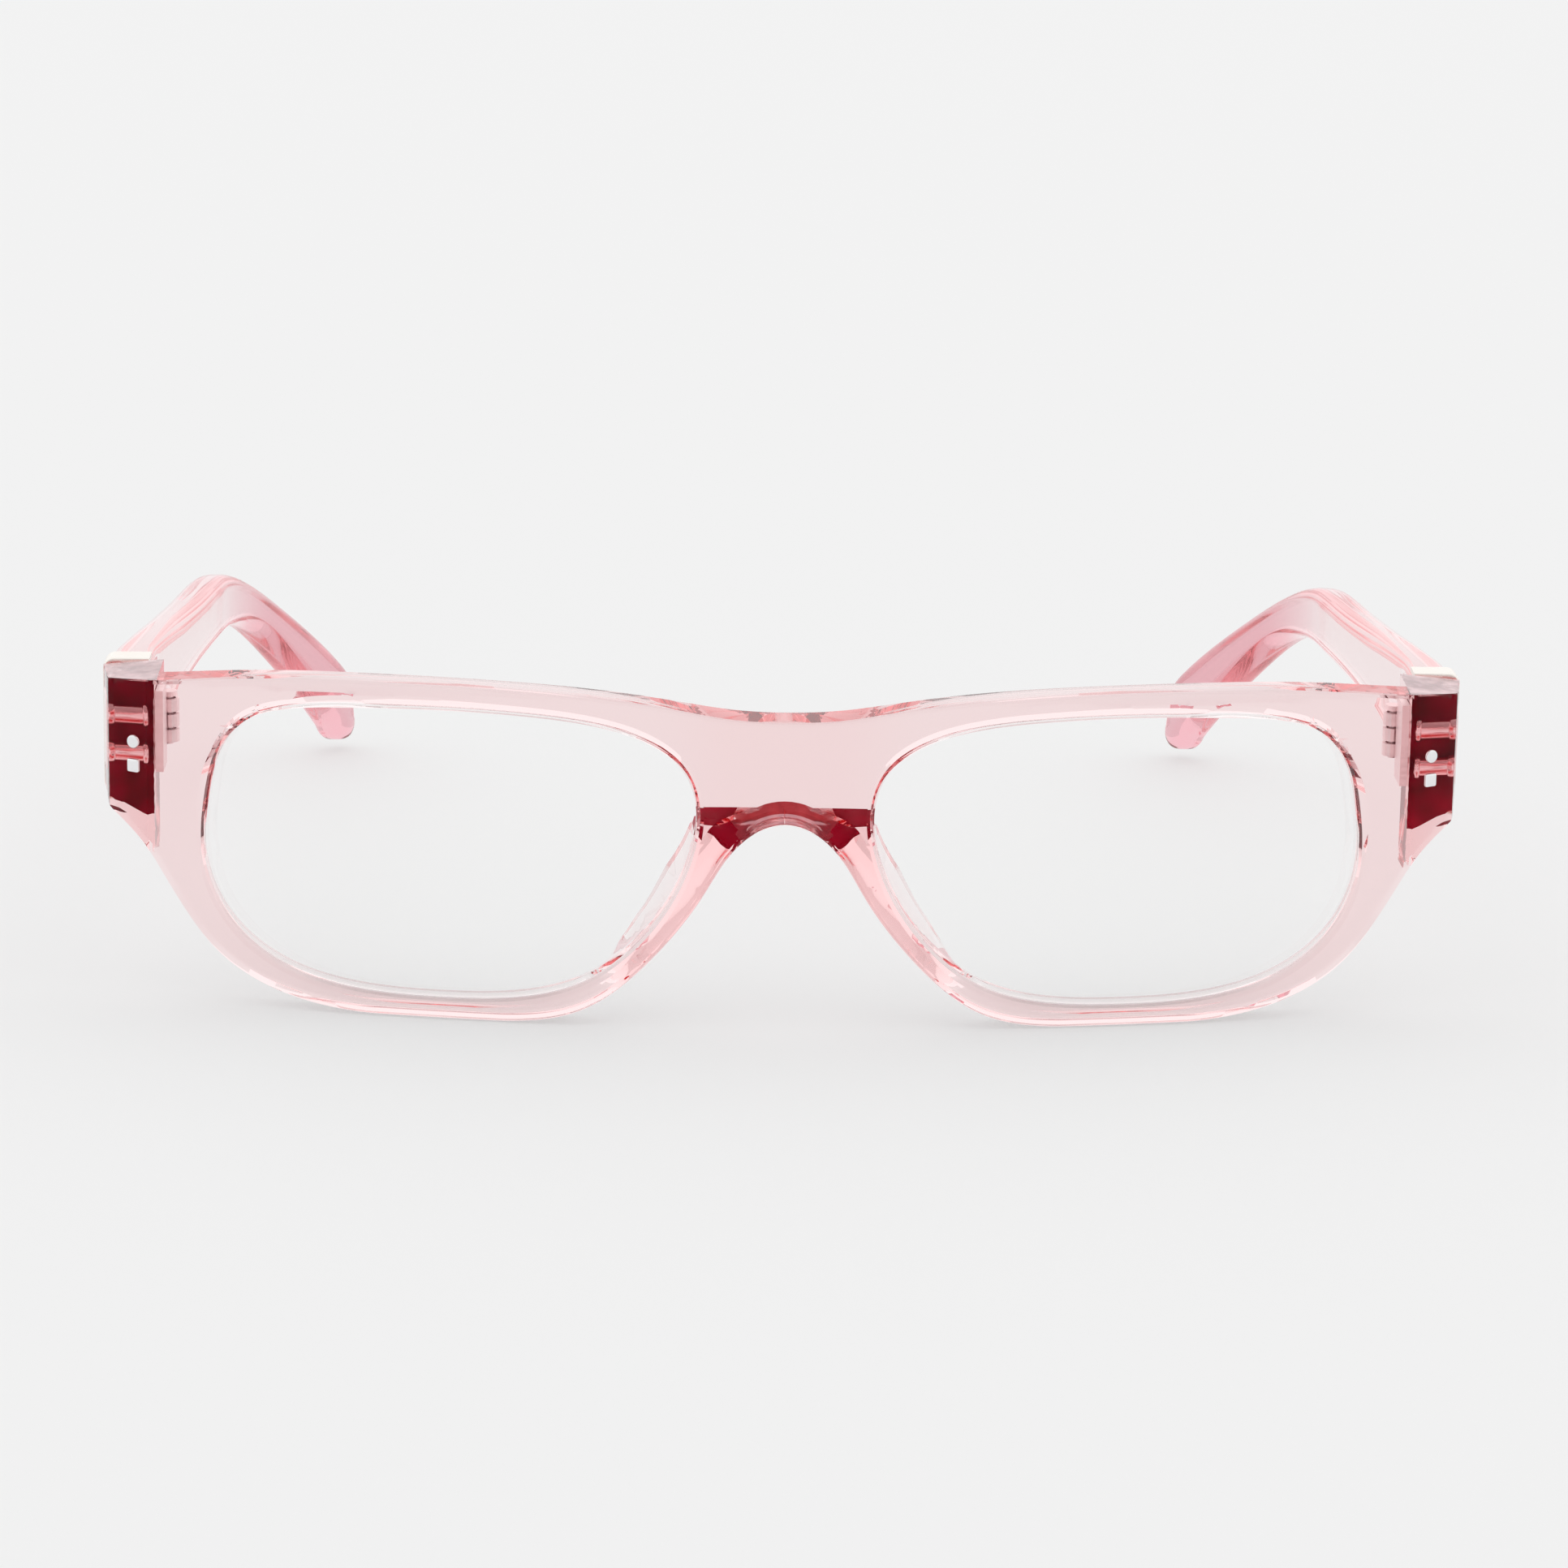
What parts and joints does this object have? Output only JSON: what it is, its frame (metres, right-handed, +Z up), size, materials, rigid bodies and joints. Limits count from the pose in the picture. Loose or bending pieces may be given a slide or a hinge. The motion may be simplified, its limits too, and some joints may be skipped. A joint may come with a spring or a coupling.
{
  "type": "eyeglasses",
  "caption": "Clear pink acetate eyeglasses with flat-topped rims, wrapped end pieces, clear lenses and folding temples with metal end caps and curved ear hooks.",
  "frame": {"origin": "on the surface the glasses stand on, under the middle of their bounding box", "axes": "+X to the right seen from the front, +Y from the front back along the temples, +Z up"},
  "size_m": [0.1478, 0.1376, 0.037],
  "materials": {
    "acetate": "polished clear pink acetate",
    "lens": "clear coated lens",
    "polished_metal": "polished pale metal",
    "rose_metal": "polished metal that mirrors the pink acetate"
  },
  "bodies": {
    "front": {"front_frame": "acetate", "right_lens": "lens", "left_lens": "lens", "right_nose_pad": "acetate", "left_nose_pad": "acetate", "right_round_stud": "polished_metal", "left_round_stud": "polished_metal", "right_square_stud": "polished_metal", "left_square_stud": "polished_metal", "right_side_plaque": "rose_metal", "left_side_plaque": "rose_metal", "right_lower_anchor_pin": "polished_metal", "left_lower_anchor_pin": "polished_metal", "right_upper_anchor_pin": "polished_metal", "left_upper_anchor_pin": "polished_metal", "right_front_hinge_leaf": "polished_metal", "left_front_hinge_leaf": "polished_metal", "right_hinge_screw": "polished_metal", "left_hinge_screw": "polished_metal"},
    "left_arm": {"left_temple": "acetate", "left_temple_cuff": "polished_metal", "left_temple_hinge_leaf": "polished_metal", "left_upper_leaf_rivet": "polished_metal", "left_lower_leaf_rivet": "polished_metal"},
    "right_arm": {"right_temple": "acetate", "right_temple_cuff": "polished_metal", "right_temple_hinge_leaf": "polished_metal", "right_upper_leaf_rivet": "polished_metal", "right_lower_leaf_rivet": "polished_metal"}
  },
  "joints": [
    {"name": "left_temple_fold", "type": "hinge", "parent": "front", "child": "left_arm", "pos_m": [-0.0662, -0.04743, 0.02927], "axis": [0, 0.0349, -0.9994], "range_deg": [0, 88]},
    {"name": "right_temple_fold", "type": "hinge", "parent": "front", "child": "right_arm", "pos_m": [0.0662, -0.04743, 0.02927], "axis": [0, -0.0349, 0.9994], "range_deg": [0, 74]}
  ]
}
